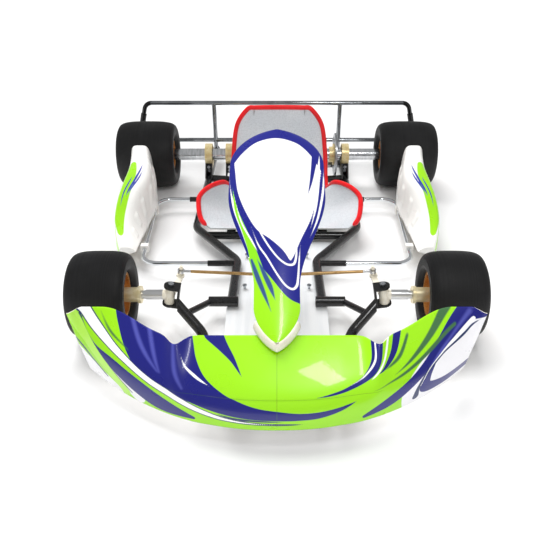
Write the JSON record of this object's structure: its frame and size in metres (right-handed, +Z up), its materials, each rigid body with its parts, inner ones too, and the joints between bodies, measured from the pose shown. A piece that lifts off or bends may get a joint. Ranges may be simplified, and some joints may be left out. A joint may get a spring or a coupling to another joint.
{
  "type": "kart chassis",
  "caption": "Rolling racing kart chassis: black tube frame, live rear axle with a brake disc, slick tyres on bronze rims, bucket seat, side pods, front fairing and steering panel.",
  "frame": {"origin": "on the ground, half way along and half way across the chassis", "axes": "-Y towards the nose, +Z up, +X towards the driver's left"},
  "size_m": [1.336, 1.804, 0.536],
  "materials": {
    "frame_black": "gloss powder coat",
    "fitting_black": "satin black coat",
    "bumper_grey": "satin grey coat",
    "steel_plated": "bright zinc plate",
    "chrome": "chromium plate",
    "spindle_cream": "cream epoxy coat",
    "gold_light": "pale gold anodised",
    "gold_rod": "gold anodised",
    "bronze_rim": "bronze anodised",
    "bearing_steel": "ground",
    "axle_steel": "ground and polished",
    "disc_steel": "turned and drilled",
    "caliper_alu": "satin",
    "pad_lining": "friction lining",
    "tyre": "slick",
    "pod_white": "gloss",
    "fairing_lime": "gloss, printed film",
    "panel_blue": "gloss, printed film",
    "tray_alu": "mill finish sheet",
    "seat_silver": "silver gel coat over glass fibre",
    "trim_red": "satin edge trim",
    "nylon_white": "nylon"
  },
  "bodies": {
    "chassis": {"frame_rail_left": "frame_black", "frame_rail_right": "frame_black", "front_tube_left": "frame_black", "front_tube_right": "frame_black", "front_cross_tube": "frame_black", "front_links": "frame_black", "seat_cross_tube": "frame_black", "rear_cross_tube": "frame_black", "kingpin_yoke_left": "fitting_black", "kingpin_yoke_right": "fitting_black", "kingpin_bolts": "steel_plated", "bearing_hangers": "fitting_black", "bearing_carriers": "gold_light", "axle_bearings": "bearing_steel", "hanger_bolts": "steel_plated", "side_bar_sockets": "fitting_black", "side_bar_left": "chrome", "side_bar_right": "chrome", "side_pod_left": "pod_white", "side_pod_right": "pod_white", "floor_tray": "tray_alu", "tray_studs": "steel_plated", "seat_shell": "seat_silver", "seat_edge_trim": "trim_red", "seat_stays": "fitting_black", "front_bumper": "bumper_grey", "front_fairing": "fairing_lime", "front_panel": "panel_blue", "panel_bracket": "fitting_black", "shaft_supports": "frame_black", "shaft_bearing": "nylon_white", "rear_bumper_upper": "chrome", "rear_bumper_lower": "chrome", "rear_bumper_uprights": "fitting_black", "rear_bumper_fittings": "fitting_black", "brake_caliper": "caliper_alu", "brake_pads": "pad_lining", "pedal_pivots": "frame_black"},
    "rear_axle_assembly": {"rear_axle": "axle_steel", "rear_hub_left": "bronze_rim", "rear_hub_right": "bronze_rim", "rear_rim_left": "bronze_rim", "rear_rim_right": "bronze_rim", "rear_tyre_left": "tyre", "rear_tyre_right": "tyre", "brake_disc": "disc_steel", "disc_carrier": "gold_light"},
    "stub_left": {"stub_axle_left": "spindle_cream"},
    "stub_right": {"stub_axle_right": "spindle_cream"},
    "front_wheel_left": {"front_hub_left": "gold_light", "front_rim_left": "bronze_rim", "front_tyre_left": "tyre"},
    "front_wheel_right": {"front_hub_right": "gold_light", "front_rim_right": "bronze_rim", "front_tyre_right": "tyre"},
    "steering": {"steering_shaft": "steel_plated"},
    "tie_rod_l": {"tie_rod_left": "gold_rod"},
    "tie_rod_r": {"tie_rod_right": "gold_rod"},
    "brake_lever": {"brake_pedal": "steel_plated"},
    "throttle_lever": {"throttle_pedal": "steel_plated"}
  },
  "joints": [
    {"name": "steer_left", "type": "hinge", "parent": "chassis", "child": "stub_left", "pos_m": [0.314, -0.432, 0.129], "axis": [-0.1736, 0, 0.9848], "range_deg": [-15, 15]},
    {"name": "steer_right", "type": "hinge", "parent": "chassis", "child": "stub_right", "pos_m": [-0.314, -0.432, 0.129], "axis": [0.1736, 0, 0.9848], "range_deg": [-15, 15]},
    {"name": "steering_shaft_turn", "type": "hinge", "parent": "chassis", "child": "steering", "pos_m": [0, -0.35728, 0.15936], "axis": [0, 0.6561, 0.7547], "range_deg": [-30, 30]},
    {"name": "tie_rod_left_pivot", "type": "hinge", "parent": "stub_left", "child": "tie_rod_l", "pos_m": [0.297, -0.312, 0.134], "axis": [-0.1736, 0, 0.9848], "range_deg": [-18, 18]},
    {"name": "tie_rod_right_pivot", "type": "hinge", "parent": "stub_right", "child": "tie_rod_r", "pos_m": [-0.297, -0.312, 0.134], "axis": [0.1736, 0, 0.9848], "range_deg": [-18, 18]},
    {"name": "front_wheel_left_spin", "type": "hinge", "parent": "stub_left", "child": "front_wheel_left", "pos_m": [0.51, -0.432, 0.129], "axis": [1, 0, 0], "continuous": true},
    {"name": "front_wheel_right_spin", "type": "hinge", "parent": "stub_right", "child": "front_wheel_right", "pos_m": [-0.51, -0.432, 0.129], "axis": [1, 0, 0], "continuous": true},
    {"name": "rear_axle_spin", "type": "hinge", "parent": "chassis", "child": "rear_axle_assembly", "pos_m": [0, 0.613, 0.139], "axis": [1, 0, 0], "continuous": true},
    {"name": "brake_pedal_pivot", "type": "hinge", "parent": "chassis", "child": "brake_lever", "pos_m": [0.108, -0.716, 0.084], "axis": [1, 0, 0], "range_deg": [0, 20], "stiffness_Nm_per_rad": 2, "springref_deg": -5.73},
    {"name": "throttle_pedal_pivot", "type": "hinge", "parent": "chassis", "child": "throttle_lever", "pos_m": [-0.108, -0.716, 0.084], "axis": [1, 0, 0], "range_deg": [0, 25], "stiffness_Nm_per_rad": 1.5, "springref_deg": -5.73}
  ],
  "couplings": [
    {"joint": "steer_right", "follows": "steer_left", "ratio": 1},
    {"joint": "steering_shaft_turn", "follows": "steer_left", "ratio": 1.9052},
    {"joint": "tie_rod_left_pivot", "follows": "steer_left", "ratio": -1.1614},
    {"joint": "tie_rod_right_pivot", "follows": "steer_left", "ratio": -1.1614}
  ]
}
